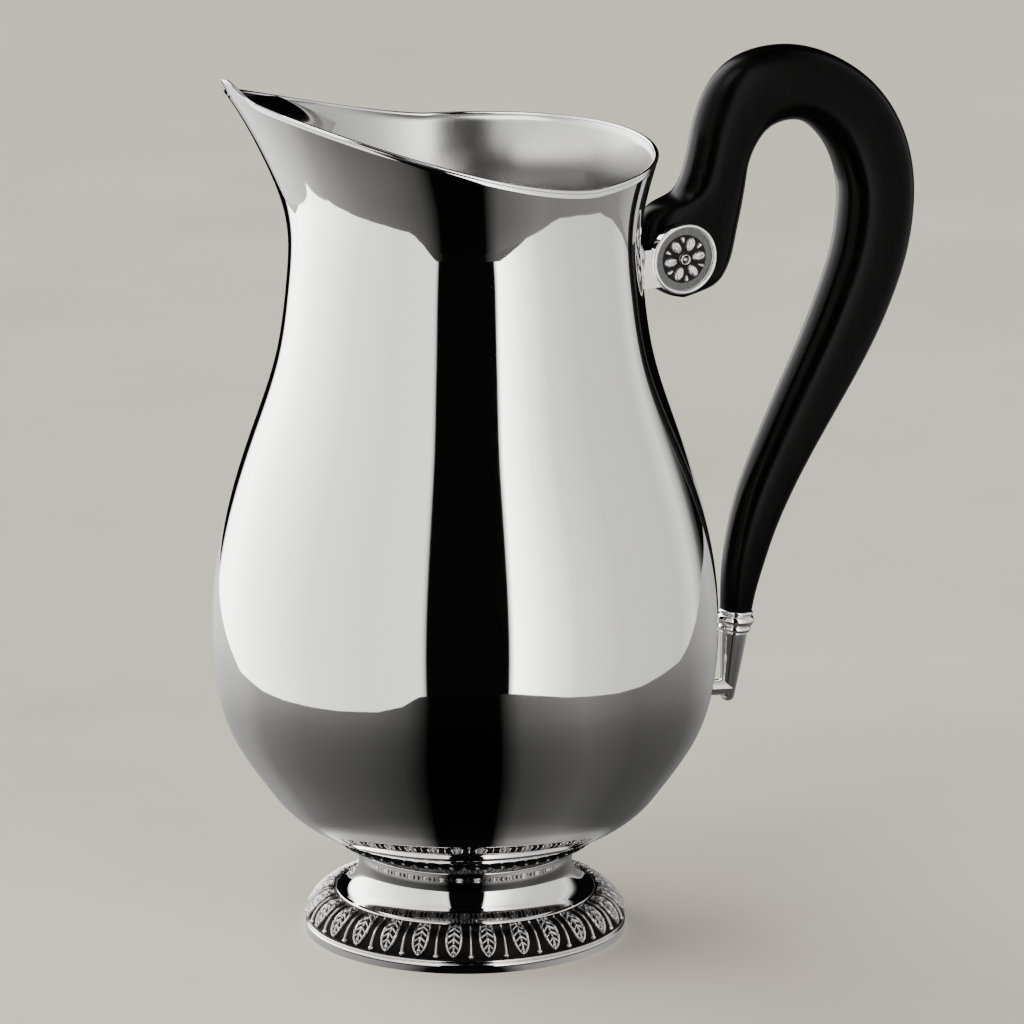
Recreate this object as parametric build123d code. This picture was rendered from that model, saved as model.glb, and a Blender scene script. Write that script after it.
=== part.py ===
from build123d import *
import math
import os

# Silver water pitcher, millimetres. +Z is up, +X runs from the body axis to the
# handle, the spout points along -X and the plane Y = 0 is the mirror plane.
# The origin is the centre of the foot's underside, which rests on the table.

# ---- overall sizes -------------------------------------------------------
BELLY_R = 68.6          # largest radius of the body
BELLY_Z = 90.0          # height of that radius
NECK_R = 47.5           # smallest radius of the neck
NECK_Z = 190.0          # height of the neck
BODY_BASE_Z = 27.5      # height where the body leaves its leaf collar
BODY_BASE_R = 35.0      # radius there
WALL = 1.2              # thickness of the body sheet
FOOT_R = 43.6           # outer radius of the base band
FOOT_WALL = 1.6         # thickness of the foot shells
FIT = 0.05              # gap left between parts that are pressed or soldered together

# ---- mouth and spout -----------------------------------------------------
RIM_BACK_Z = 215.2      # height of the rim over its rear half
RIM_RISE = 26.0         # extra height of the rim under the spout's tip
RIM_RISE_X = 14.0       # X where the rim begins to rise
BEAK_RISE = 3.9         # small peak at the very tip of the spout
BEAK_SIZE = 6.0         # reach of that peak
SPOUT_STAND = 25.2      # how far the spout's tip stands beyond the neck's radius
SPOUT_ROOT_Z = 192.0    # height where the spout starts to leave the neck
SPOUT_TOP_Z = 245.4     # height at which the spout's reach is stated
SPOUT_REACH = 16.1      # how far the spout stands beyond the flared neck there
SPOUT_SWEEP = 2.25      # how late the spout swings outwards
SPOUT_NARROW = 6.0      # how narrow the spout is in plan
RIM_WIRE_R = 0.8        # radius of the wire along the rim

# ---- ice guard -----------------------------------------------------------
GUARD_T = 1.0           # thickness of the guard
GUARD_STAND = 13.0      # how far the middle of its upper edge stands beyond the neck's radius
GUARD_Z = 235.5         # height of the middle of its upper edge
GUARD_LOW_Z = 216.0     # height of its lower edge
GUARD_R = 80.0          # radius of its bow in plan
GUARD_LEAN = 1.50       # how far it leans back for each unit it drops

# ---- foot ----------------------------------------------------------------
BAND_H = 2.6            # height of the plain base band
BEAD_H = 0.8            # height of the bright bead over the band
FLANGE_TOP_Z = 11.2     # top of the leaf flange
FLANGE_IN = 0.425       # where the leaf flange ends, from 0 at the stem's waist to 1 at the foot's edge
STEM_TOP_Z = 24.0       # top of the waisted stem
STEM_DRAW = 5.2         # how much narrower the stem's upper lip is than the body's base
STEM_WAIST = 0.8        # how much narrower the waist is than the upper lip
COLLAR_LIP = 7.8        # how far the collar's flat underside runs in from the stem's upper lip

# ---- handle --------------------------------------------------------------
# Stations along the handle: distance out from the body line, Z, half thickness in
# the mirror plane, half width beyond the half width at the mount. The body line is
# the neck's radius down to the pivot's height, then a straight run to the belly's
# radius at the ferrule's height.
HANDLE = [
    (15.5, 179.6, 9.4, 0.0),
    (23.1, 187.6, 11.6, 0.1),
    (27.5, 196.0, 10.2, 0.2),
    (29.7, 205.0, 8.4, 0.3),
    (32.9, 216.4, 8.6, 0.4),
    (40.1, 223.6, 9.6, 0.6),
    (51.5, 225.3, 10.2, 0.8),
    (64.7, 220.4, 10.3, 1.0),
    (73.9, 211.4, 10.3, 1.0),
    (78.8, 200.6, 10.4, 1.0),
    (79.1, 188.0, 10.3, 0.9),
    (76.0, 176.4, 10.1, 0.7),
    (70.0, 165.0, 9.7, 0.5),
    (62.6, 153.0, 9.2, 0.2),
    (54.4, 142.4, 8.7, -0.1),
    (45.9, 132.2, 8.1, -0.4),
    (37.4, 121.8, 7.4, -0.7),
    (29.8, 111.0, 6.7, -1.1),
    (23.6, 100.0, 6.0, -1.6),
    (19.0, 89.4, 5.0, -2.2),
    (15.4, 78.4, 4.2, -2.8),
]
HANDLE_HALF_W = 7.0     # half width of the handle between the cheeks
SIDE_GAP = 0.2          # play between the handle and each cheek
KNUCKLE_R = 10.6        # radius of the handle's rounded upper end
HEEL_OUT = 8.1          # how far the handle's shoulder stands out from the neck's radius
HEEL_Z = 192.6          # height of that shoulder
HEEL_R = 4.2            # radius of that shoulder

# ---- upper mount ---------------------------------------------------------
PIVOT_OUT = 14.9        # how far the cross pin stands out from the neck's radius
PIVOT_Z = 182.0         # height of the cross pin
ROUNDEL_R = 9.7         # outer radius of a roundel
CHEEK_T = 1.6           # thickness of a cheek
BEZEL_W = 1.0           # width of the raised rim of a roundel
BEZEL_H = 1.0           # height of that rim over the cheek
ROSETTE_R = 6.4         # radius of the rosette
ROSETTE_H = 1.2         # height of the rosette
PETALS = 6              # large petals of the rosette
PIN_R = 2.0             # radius of the cross pin
PLATE_T = 2.4           # how far the neck plate stands off the neck
PLATE_W = 28.0          # width of the neck plate
PLATE_H = 25.0          # height of the neck plate
PLATE_Z = 185.6         # height of the middle of the neck plate
ARM_H = 10.6            # height of the arms that carry the roundels
ARM_Z = 180.3           # height of the middle of those arms

# ---- lower mount ---------------------------------------------------------
TILT = 6.0              # lean of the ferrule and socket, degrees
RING_1_H = 1.2          # thin upper ring
RING_1_R = 4.7
RING_2_H = 3.0          # bold middle ring
RING_2_R = 5.2
RING_3_H = 1.8          # lower ring
RING_3_R = 4.6
SOCKET_L = 18.0         # length of the tapered socket
SOCKET_TOP_R = 3.7
SOCKET_TIP_R = 1.9
TENON_R = 2.2           # round tenon of the handle inside the rings
TENON_L = 14.0
STRUT_Z = 58.4          # height of the strut on the body
STRUT_R = 2.2
PAD_R = 5.2             # radius of the pad on the body
PAD_T = 1.4             # thickness of the pad

# ---- sizes that follow from the ones above --------------------------------
SPOUT_TIP_X = -(NECK_R + SPOUT_STAND)
GUARD_X = -(NECK_R + GUARD_STAND)
STEM_TOP_R = BODY_BASE_R - STEM_DRAW
STEM_WAIST_R = STEM_TOP_R - STEM_WAIST
FLANGE_TOP_R = STEM_WAIST_R + FLANGE_IN * (FOOT_R - STEM_WAIST_R)
COLLAR_IN_R = STEM_TOP_R - COLLAR_LIP
PIVOT_X = NECK_R + PIVOT_OUT
HEEL_X = NECK_R + HEEL_OUT
CHEEK_IN_Y = HANDLE_HALF_W + SIDE_GAP
FERRULE_X = BELLY_R + HANDLE[-1][0]
FERRULE_Z = HANDLE[-1][1]
MOUTH_LOW_Z = NECK_Z + 10.0
MOUTH_TOP_Z = NECK_Z + 60.0


# Outer profile of the body of revolution: height, radius. The belly's radii
# follow the belly's size, those of the neck and mouth follow the neck.
PROFILE = [
    (BODY_BASE_Z, BODY_BASE_R),
    (30.0, 0.592 * BELLY_R),
    (38.0, 0.736 * BELLY_R),
    (48.0, 0.853 * BELLY_R),
    (60.0, 0.945 * BELLY_R),
    (75.0, 0.994 * BELLY_R),
    (BELLY_Z, BELLY_R),
    (110.0, 0.965 * BELLY_R),
    (130.0, 0.886 * BELLY_R),
    (150.0, 0.789 * BELLY_R),
    (170.0, NECK_R + 1.6),
    (NECK_Z, NECK_R),
    (NECK_Z + 10.0, NECK_R + 0.7),
    (NECK_Z + 19.0, NECK_R + 2.7),
    (NECK_Z + 27.0, NECK_R + 5.2),
    (NECK_Z + 40.0, NECK_R + 6.6),
    (MOUTH_TOP_Z, NECK_R + 9.6),
]


def profile_radius(z):
    """Radius of the body of revolution at a height: Catmull-Rom through PROFILE."""
    pts = PROFILE
    i = 0
    while i < len(pts) - 2 and z > pts[i + 1][0]:
        i += 1
    z0, r0 = pts[i]
    z1, r1 = pts[i + 1]
    m = (r1 - r0) / (z1 - z0)
    zp, rp = pts[max(i - 1, 0)]
    zn, rn = pts[min(i + 2, len(pts) - 1)]
    m0 = (r1 - rp) / (z1 - zp) if i > 0 else m
    m1 = (rn - r0) / (zn - z0) if i < len(pts) - 2 else m
    h = z1 - z0
    t = (z - z0) / h
    a = 2 * t**3 - 3 * t**2 + 1
    b = t**3 - 2 * t**2 + t
    c = -2 * t**3 + 3 * t**2
    d = t**3 - t**2
    return a * r0 + b * h * m0 + c * r1 + d * h * m1


def body_radius(angle, z):
    """Radius of the body at an angle from the handle side and a height."""
    share = ((1 - math.cos(angle)) / 2) ** SPOUT_NARROW
    rise = max(0.0, (z - SPOUT_ROOT_Z) / (SPOUT_TOP_Z - SPOUT_ROOT_Z))
    return profile_radius(z) + SPOUT_REACH * rise**SPOUT_SWEEP * share


def rim_height(x, y):
    """Height of the rim surface over a point of the ground plan."""
    ahead = max(0.0, (RIM_RISE_X - x) / (RIM_RISE_X - SPOUT_TIP_X))
    behind = max(0.0, (x - RIM_RISE_X) / 40.0)
    gap = ((x - SPOUT_TIP_X) ** 2 + y**2) / BEAK_SIZE**2
    beak = BEAK_RISE * math.exp(-gap)
    return RIM_BACK_Z + RIM_RISE * ahead**1.4 + 1.5 * behind**2 + beak


def rim_point(angle, inset):
    """Point of the rim at an angle, a given distance inside the outer surface."""
    low, high = MOUTH_LOW_Z, MOUTH_TOP_Z
    for _ in range(40):
        z = (low + high) / 2
        r = body_radius(angle, z) - inset
        if rim_height(r * math.cos(angle), r * math.sin(angle)) > z:
            low = z
        else:
            high = z
    return Vector(r * math.cos(angle), r * math.sin(angle), z)


def section_ring(z, depth):
    """Level section of the body, its surface moved inwards square to itself."""
    slope = (profile_radius(z + 0.01) - profile_radius(z - 0.01)) / 0.02
    if z <= BODY_BASE_Z:
        slope = (profile_radius(z + 0.01) - profile_radius(z)) / 0.01
    size = math.sqrt(1 + slope**2)
    inset = depth / size
    level = z + depth * slope / size
    if z > NECK_Z - 5.0:
        inset = depth
        level = z
    ring = []
    count = 36
    for i in range(count):
        angle = 2 * math.pi * i / count
        r = body_radius(angle, z) - inset
        ring.append((r * math.cos(angle), r * math.sin(angle), level))
    return Face(Wire([Edge.make_spline(ring, periodic=True)]))


def vessel(depth):
    """Body solid filled in, its surface moved inwards by depth."""
    levels = [z for z, _ in PROFILE[:12]]
    levels += [NECK_Z + 6.0 * i for i in range(1, 11)]
    return loft([section_ring(z, depth) for z in levels])


def rim_cutter(drop):
    """Everything above the rim surface, lowered by drop."""
    front = SPOUT_TIP_X - 12.0
    back = NECK_R + 16.0
    side = NECK_R + 18.5
    xs = [front + (back - front) * i / 59 for i in range(60)]
    ys = [-side + 2 * side * j / 48 for j in range(49)]
    grid = [[Vector(x, y, rim_height(x, y) - drop) for y in ys] for x in xs]
    top = Face.make_surface_from_array_of_points(grid)
    return extrude(top, amount=60.0, dir=(0, 0, 1))


def make_rim_wire():
    count = 40
    sections = []
    for i in range(count + 1):
        angle = math.pi * i / count
        here = rim_point(angle, WALL / 2)
        step = rim_point(angle + 0.01, WALL / 2) - rim_point(angle - 0.01, WALL / 2)
        if i in (0, count):
            here = Vector(here.X, 0, here.Z)
            step = Vector(0, step.Y, 0)
        out = Vector(math.cos(angle), math.sin(angle), 0)
        side = out - step * (out.dot(step) / step.dot(step))
        sections.append(Plane(origin=here, x_dir=side, z_dir=step) * Circle(RIM_WIRE_R))
    half = loft(sections)
    return half + mirror(half, about=Plane.XZ)


def make_body():
    outer = vessel(0.0) - rim_cutter(0.0)
    inner = vessel(WALL)
    return outer - inner, outer, inner - rim_cutter(RIM_WIRE_R)


def make_guard(inner):
    drop = 60.0
    bow = GUARD_X + GUARD_R
    top = GUARD_Z + 12.0
    shift = GUARD_LEAN * (top - GUARD_Z)
    ring = Circle(GUARD_R) - Circle(GUARD_R - GUARD_T)
    ring = Pos(bow - shift, 0, top) * ring
    keep = Pos(GUARD_X - shift, 0, top) * Rectangle(60.0, 100.0)
    band = ring & keep
    sheet = extrude(band, amount=drop, dir=(GUARD_LEAN, 0, -1))
    floor = Pos(GUARD_X, 0, GUARD_LOW_Z + 50.0) * Box(200.0, 200.0, 100.0)
    return (sheet & floor) & inner


def make_collar():
    pts = [
        (COLLAR_IN_R, STEM_TOP_Z),
        (STEM_TOP_R + 0.2, STEM_TOP_Z),
        (BODY_BASE_R, BODY_BASE_Z - 0.2),
        (BODY_BASE_R, BODY_BASE_Z),
        (COLLAR_IN_R, BODY_BASE_Z),
    ]
    face = make_face(Polyline([(x, 0, z) for x, z in pts], close=True))
    return revolve(face, axis=Axis.Z)


def make_stem():
    spread = FLANGE_TOP_R - STEM_WAIST_R
    outer = [
        (STEM_TOP_R, STEM_TOP_Z - 0.9),
        (STEM_WAIST_R, STEM_TOP_Z - 3.6),
        (STEM_WAIST_R + 0.113 * spread, FLANGE_TOP_Z + 5.2),
        (STEM_WAIST_R + 0.452 * spread, FLANGE_TOP_Z + 1.8),
        (FLANGE_TOP_R, FLANGE_TOP_Z),
    ]
    w = FOOT_WALL
    inner = [
        (FLANGE_TOP_R, FLANGE_TOP_Z - w),
        (STEM_WAIST_R + 0.323 * spread, FLANGE_TOP_Z + 0.6),
        (STEM_WAIST_R + 0.113 * spread - w, FLANGE_TOP_Z + 4.6),
        (STEM_WAIST_R - w, STEM_TOP_Z - 3.6),
        (STEM_WAIST_R - w, STEM_TOP_Z - w),
    ]
    a = Spline([(x, 0, z) for x, z in outer])
    b = Line((outer[-1][0], 0, outer[-1][1]), (inner[0][0], 0, inner[0][1]))
    c = Spline([(x, 0, z) for x, z in inner])
    rest = [inner[-1], (COLLAR_IN_R, STEM_TOP_Z - w), (COLLAR_IN_R, STEM_TOP_Z)]
    rest += [(STEM_TOP_R, STEM_TOP_Z), outer[0]]
    d = Polyline([(x, 0, z) for x, z in rest])
    return revolve(make_face(a + b + c + d), axis=Axis.Z)


def make_flange():
    low = BAND_H + BEAD_H
    w = FOOT_WALL
    edge = FOOT_R - 0.4
    spread = edge - FLANGE_TOP_R
    rise = FLANGE_TOP_Z - low
    outer = [
        (FLANGE_TOP_R, FLANGE_TOP_Z),
        (FLANGE_TOP_R + 0.525 * spread, low + 0.833 * rise),
        (FLANGE_TOP_R + 0.875 * spread, low + 0.462 * rise),
        (edge, low),
    ]
    inner = [
        (edge - w, low),
        (edge - w - 0.0875 * spread, low + 0.359 * rise),
        (edge - w - 0.35 * spread, low + 0.641 * rise),
        (FLANGE_TOP_R, FLANGE_TOP_Z - w),
    ]
    a = Spline([(x, 0, z) for x, z in outer])
    b = Line((outer[-1][0], 0, low), (inner[0][0], 0, low))
    c = Spline([(x, 0, z) for x, z in inner])
    d = Line((FLANGE_TOP_R, 0, inner[-1][1]), (FLANGE_TOP_R, 0, FLANGE_TOP_Z))
    return revolve(make_face(a + b + c + d), axis=Axis.Z)


def make_bead():
    r = FOOT_R - 0.3
    tube = Pos(0, 0, BAND_H + BEAD_H / 2) * Torus(r - BEAD_H / 2, BEAD_H / 2)
    outer = Pos(0, 0, BAND_H + BEAD_H / 2) * Cylinder(r - BEAD_H / 2, BEAD_H)
    inner = Pos(0, 0, BAND_H + BEAD_H / 2) * Cylinder(FOOT_R - 2.6, BEAD_H)
    return tube + (outer - inner)


def make_band():
    outer = Pos(0, 0, BAND_H / 2) * Cylinder(FOOT_R, BAND_H)
    outer = fillet(outer.edges().group_by(Axis.Z)[-1], 0.5)
    inner = Pos(0, 0, BAND_H / 2) * Cylinder(FOOT_R - 2.6, BAND_H)
    return outer - inner


def oval(plane, a, b):
    """Rounded section whose sides are flatter than an ellipse."""
    pts = []
    count = 16
    for i in range(count):
        t = 2 * math.pi * i / count
        c, s = math.cos(t), math.sin(t)
        k = (abs(c) ** 2.6 + abs(s) ** 2.6) ** (-1 / 2.6)
        pts.append(plane.from_local_coords((a * k * c, b * k * s, 0)))
    return Face(Wire([Edge.make_spline(pts, periodic=True)]))


def body_line(z):
    """Distance from the axis of the line that the handle's stations are stated from."""
    share = min(1.0, max(0.0, (PIVOT_Z - z) / (PIVOT_Z - FERRULE_Z)))
    return NECK_R + (BELLY_R - NECK_R) * share


def make_handle(plate):
    stations = [(body_line(z) + out, z, a, HANDLE_HALF_W + b) for out, z, a, b in HANDLE]
    spine = Spline([(x, 0, z) for x, z, _, _ in stations])
    sections = []
    for x, z, a, b in stations:
        t = spine.param_at_point((x, 0, z))
        tangent = ferrule_axis() if z == FERRULE_Z else spine.tangent_at(t)
        plane = Plane(origin=(x, 0, z), x_dir=tangent.cross(Vector(0, 1, 0)), z_dir=tangent)
        sections.append(oval(plane, a, b))
    limb = loft(sections)
    width = 2 * HANDLE_HALF_W
    flat = Plane.XZ.offset(-width / 2)
    knuckle = flat * (Pos(PIVOT_X + 1.0, PIVOT_Z - 0.6) * Circle(KNUCKLE_R))
    knuckle = extrude(knuckle, amount=width)
    knuckle = fillet(knuckle.edges(), 2.0)
    heel = flat * (Pos(HEEL_X, HEEL_Z) * Circle(HEEL_R))
    heel = extrude(heel, amount=width)
    heel = fillet(heel.edges(), 1.6)
    web = make_hull(
        [
            *(Pos(HEEL_X, HEEL_Z) * Circle(HEEL_R - 0.3)).edges(),
            *(Pos(PIVOT_X + 11.2, PIVOT_Z + 14.4) * Circle(8.0)).edges(),
            *(Pos(PIVOT_X + 1.0, PIVOT_Z - 0.6) * Circle(KNUCKLE_R - 0.4)).edges(),
        ]
    )
    web = extrude(Plane.XZ.offset(-width / 2 + 0.8) * web, amount=width - 1.6)
    tip = Plane(origin=(FERRULE_X, 0, FERRULE_Z), z_dir=ferrule_axis())
    tenon = tip * Cylinder(TENON_R, TENON_L, align=(Align.CENTER, Align.CENTER, Align.MIN))
    grip = limb + knuckle + heel + web + tenon
    hole = Pos(PIVOT_X, 0, PIVOT_Z) * Rot(90, 0, 0) * Cylinder(PIN_R + FIT, 40.0)
    return grip - hole - plate


def ferrule_axis():
    a = math.radians(TILT)
    return Vector(-math.sin(a), 0, -math.cos(a))


def ferrule_plane(depth):
    origin = Vector(FERRULE_X, 0, FERRULE_Z) + ferrule_axis() * depth
    return Plane(origin=origin, z_dir=ferrule_axis())


def ring(depth, radius, height):
    """Ferrule ring with a rounded outside, bored for the tenon."""
    bore = TENON_R + FIT
    solid = Cylinder(radius, height, align=(Align.CENTER, Align.CENTER, Align.MIN))
    solid = fillet(solid.edges(), height * 0.42)
    solid = solid - Cylinder(bore, 3 * height)
    return ferrule_plane(depth) * solid


def make_socket():
    start = RING_1_H + RING_2_H + RING_3_H
    cone = Cone(SOCKET_TOP_R, SOCKET_TIP_R, SOCKET_L, align=(Align.CENTER, Align.CENTER, Align.MIN))
    ball = Pos(0, 0, SOCKET_L) * Sphere(SOCKET_TIP_R)
    deep = TENON_L - start + FIT
    bore = Cylinder(TENON_R + FIT, deep, align=(Align.CENTER, Align.CENTER, Align.MIN))
    return ferrule_plane(start) * (cone + ball - bore)


def make_pad(outer):
    r = profile_radius(STRUT_Z)
    disc = Pos(r, 0, STRUT_Z) * Rot(0, 90, 0) * Cylinder(PAD_R, 2 * PAD_T)
    disc = fillet(disc.edges().sort_by(Axis.X)[-1], 0.9)
    return disc - outer


def make_strut(outer, pad, socket):
    start = Vector(profile_radius(STRUT_Z) - 2.0, 0, STRUT_Z)
    end = ferrule_plane(RING_1_H + RING_2_H + RING_3_H + SOCKET_L - 2.0).origin
    length = (end - start).length
    plane = Plane(origin=start, z_dir=end - start)
    rod = plane * Cylinder(STRUT_R, length, align=(Align.CENTER, Align.CENTER, Align.MIN))
    return rod - outer - pad - socket


def make_plate(outer):
    r = profile_radius(PLATE_Z) + PLATE_T
    ring = Pos(0, 0, PLATE_Z) * Cylinder(r, PLATE_H)
    outline = Plane.YZ * (Pos(0, PLATE_Z) * RectangleRounded(PLATE_W, PLATE_H, 7.0))
    column = extrude(outline, amount=100.0)
    return (ring & column) - outer


def make_cheek(side, plate):
    y0 = side * CHEEK_IN_Y
    flat = Plane.XZ.offset(-y0)
    left = profile_radius(ARM_Z)
    arm_w = PIVOT_X - left
    arm = Pos(left + arm_w / 2, ARM_Z) * Rectangle(arm_w, ARM_H)
    shape = arm + Pos(PIVOT_X, PIVOT_Z) * Circle(ROUNDEL_R)
    cheek = extrude(flat * shape, amount=-side * CHEEK_T)
    hole = Pos(PIVOT_X, 0, PIVOT_Z) * Rot(90, 0, 0) * Cylinder(PIN_R + FIT, 60.0)
    return cheek - hole - plate


def make_bezel(side):
    y0 = side * (CHEEK_IN_Y + CHEEK_T)
    flat = Plane.XZ.offset(-y0)
    ring = Pos(PIVOT_X, PIVOT_Z) * (Circle(ROUNDEL_R) - Circle(ROUNDEL_R - BEZEL_W))
    bezel = extrude(flat * ring, amount=-side * BEZEL_H)
    top = bezel.edges().sort_by(Axis.Y)
    edges = top[:2] if side < 0 else top[-2:]
    return fillet(edges, 0.4)


def make_rosette(side):
    y0 = side * (CHEEK_IN_Y + CHEEK_T)
    flat = Plane.XZ.offset(-y0)
    petals = Circle(ROSETTE_R * 0.3)
    for i in range(PETALS):
        petal = Pos(ROSETTE_R * 0.56, 0) * Ellipse(ROSETTE_R * 0.44, ROSETTE_R * 0.25)
        petals += Rot(0, 0, 360 / PETALS * i + 5) * petal
    shape = flat * (Pos(PIVOT_X, PIVOT_Z) * petals)
    boss = flat * (Pos(PIVOT_X, PIVOT_Z) * Circle(ROSETTE_R * 0.28))
    leaf = extrude(shape, amount=-side * ROSETTE_H * 0.7)
    return leaf + extrude(boss, amount=-side * ROSETTE_H)


def make_pin():
    reach = 2 * (CHEEK_IN_Y + CHEEK_T)
    return Pos(PIVOT_X, 0, PIVOT_Z) * Rot(90, 0, 0) * Cylinder(PIN_R, reach)


def save(name, solid):
    export_step(solid, f"parts/{name}.step")


def main():
    os.makedirs("parts", exist_ok=True)
    body, outer, inner = make_body()
    wire = make_rim_wire() - body
    save("body_shell", body)
    save("rim_wire", wire)
    save("ice_guard", make_guard(inner) - wire)
    save("foot_collar", make_collar())
    save("foot_stem", make_stem())
    save("foot_leaf_flange", make_flange())
    save("foot_bead", make_bead())
    save("foot_base_band", make_band())
    plate = make_plate(outer)
    save("neck_plate", plate)
    for side, name in ((-1, "near"), (1, "far")):
        save(f"cheek_{name}", make_cheek(side, plate))
        save(f"bezel_{name}", make_bezel(side))
        save(f"rosette_{name}", make_rosette(side))
    save("cross_pin", make_pin())
    save("handle", make_handle(plate))
    save("ferrule_upper_ring", ring(0.0, RING_1_R, RING_1_H))
    save("ferrule_middle_ring", ring(RING_1_H, RING_2_R, RING_2_H))
    save("ferrule_lower_ring", ring(RING_1_H + RING_2_H, RING_3_R, RING_3_H))
    socket = make_socket()
    pad = make_pad(outer)
    save("lower_socket", socket)
    save("lower_pad", pad)
    save("lower_strut", make_strut(outer, pad, socket))


main()
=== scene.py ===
import bpy
import numpy as np
from mathutils import Matrix, Vector


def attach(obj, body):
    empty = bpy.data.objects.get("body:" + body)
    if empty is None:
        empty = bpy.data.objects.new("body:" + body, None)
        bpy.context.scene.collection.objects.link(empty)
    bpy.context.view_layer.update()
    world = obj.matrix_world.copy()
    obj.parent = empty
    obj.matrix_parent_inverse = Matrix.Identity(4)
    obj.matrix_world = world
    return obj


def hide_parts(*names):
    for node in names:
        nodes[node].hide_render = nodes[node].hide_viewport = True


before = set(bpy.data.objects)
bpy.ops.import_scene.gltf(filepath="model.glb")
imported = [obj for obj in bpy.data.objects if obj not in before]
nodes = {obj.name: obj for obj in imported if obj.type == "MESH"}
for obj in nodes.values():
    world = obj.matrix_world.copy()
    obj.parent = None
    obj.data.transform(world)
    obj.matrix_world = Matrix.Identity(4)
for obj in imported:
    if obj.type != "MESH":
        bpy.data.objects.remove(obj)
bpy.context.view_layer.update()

# ---------------------------------------------------------------------------
# Body: one spun and hammered sheet of silver, pear-shaped below and drawn out
# at the mouth into a spout. It is a mirror outside and satin inside.
body_wall = 1.2
body_base_z = 27.5
# The numbers of this list came from a scratch script; report.md says how.
body_knots = np.array([
    (27.5, 35.0), (33.0, 45.1), (42.0, 54.0), (56.0, 63.2), (74.0, 68.0),
    (92.0, 68.5), (114.0, 65.3), (138.0, 58.2), (160.0, 51.1), (180.0, 48.1),
    (195.0, 47.5), (205.0, 49.0), (216.0, 52.0), (228.0, 55.2), (250.0, 61.0)])
spout_root_z, spout_top_z, spout_reach = 192.0, 245.4, 12.9
spout_sweep, spout_narrow, spout_tip_x = 2.25, 6.0, -72.7
rim_back_z, rim_rise, rim_rise_x = 215.2, 26.0, 14.0
beak_rise, beak_size = 3.9, 6.0


def smooth_line(knots, at):
    """Natural cubic spline: the curve of least bending through (position, value) knots, read at given
    positions."""
    x, y = knots[:, 0], knots[:, 1]
    h = np.diff(x)
    n = len(x)
    a = np.eye(n)
    b = np.zeros(n)
    inner = np.arange(1, n - 1)
    a[inner, inner - 1], a[inner, inner], a[inner, inner + 1] = h[:-1], 2 * (h[:-1] + h[1:]), h[1:]
    b[inner] = 6 * (np.diff(y)[1:] / h[1:] - np.diff(y)[:-1] / h[:-1])
    m = np.linalg.solve(a, b)
    i = np.clip(np.searchsorted(x, at) - 1, 0, n - 2)
    t, w = at - x[i], h[i]
    return (y[i] + t * ((y[i + 1] - y[i]) / w - w * (2 * m[i] + m[i + 1]) / 6)
            + t**2 * m[i] / 2 + t**3 * (m[i + 1] - m[i]) / (6 * w))


def body_radius(angle, z):
    """Spun radius plus the spout: a power of the height above its root times a narrow cosine lobe round
    -X."""
    share = ((1 - np.cos(angle)) / 2) ** spout_narrow
    rise = np.clip((z - spout_root_z) / (spout_top_z - spout_root_z), 0, None)
    return smooth_line(body_knots, z) + spout_reach * rise**spout_sweep * share


def rim_height(x, y):
    """Level behind, a 1.4 power rise towards the spout, and a small bell-shaped beak at the tip."""
    ahead = np.clip((rim_rise_x - x) / (rim_rise_x - spout_tip_x), 0, None)
    behind = np.clip((x - rim_rise_x) / 40.0, 0, None)
    beak = beak_rise * np.exp(-((x - spout_tip_x) ** 2 + y**2) / beak_size**2)
    return rim_back_z + rim_rise * ahead**1.4 + 1.5 * behind**2 + beak


def rim_line(angle, inset):
    """Height at which the wall, moved in by inset, meets the rim height, found by halving an interval."""
    low, high = np.full_like(angle, 200.0), np.full_like(angle, 250.0)
    for _ in range(40):
        z = (low + high) / 2
        r = body_radius(angle, z) - inset
        above = rim_height(r * np.cos(angle), r * np.sin(angle)) > z
        low, high = np.where(above, z, low), np.where(above, high, z)
    return r, z


def lay_mesh(name, grid, around=True, along=False, caps=(), values=None, flip=False):
    """Mesh from a grid of points in millimetres. Rows run along the first axis and close on the second if
    around is set; the first axis closes if along is set; caps names the end rows filled with one flat
    face."""
    rows, cols, _ = grid.shape
    mesh = bpy.data.meshes.new(name)
    i = np.arange(rows if along else rows - 1)[:, None]
    j = np.arange(cols if around else cols - 1)[None, :]
    i2, j2 = (i + 1) % rows, (j + 1) % cols
    quads = np.stack([i * cols + j, i * cols + j2, i2 * cols + j2, i2 * cols + j], -1).reshape(-1, 4)
    if flip:
        quads = quads[:, ::-1]
    faces = quads.tolist()
    if "first" in caps:
        ring = np.arange(cols)
        faces.append((ring if flip else ring[::-1]).tolist())
    if "last" in caps:
        ring = np.arange(cols) + (rows - 1) * cols
        faces.append((ring[::-1] if flip else ring).tolist())
    mesh.from_pydata((grid.reshape(-1, 3) / 1000.0).tolist(), [], faces)
    mesh.polygons.foreach_set("use_smooth", np.ones(len(mesh.polygons), bool))
    for key, value in (values or {}).items():
        layer = mesh.attributes.new(key, "FLOAT", "POINT")
        layer.data.foreach_set("value", np.ascontiguousarray(value, dtype=np.float32).ravel())
    mesh.update()
    piece = bpy.data.objects.new(name, mesh)
    bpy.context.collection.objects.link(piece)
    return piece


def wire(tree, pairs):
    """Links the named sockets of nodes, each pair written as ((node, output), (node, input))."""
    for (a, out), (b, into) in pairs:
        tree.links.new(a.outputs[out], b.inputs[into])


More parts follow.
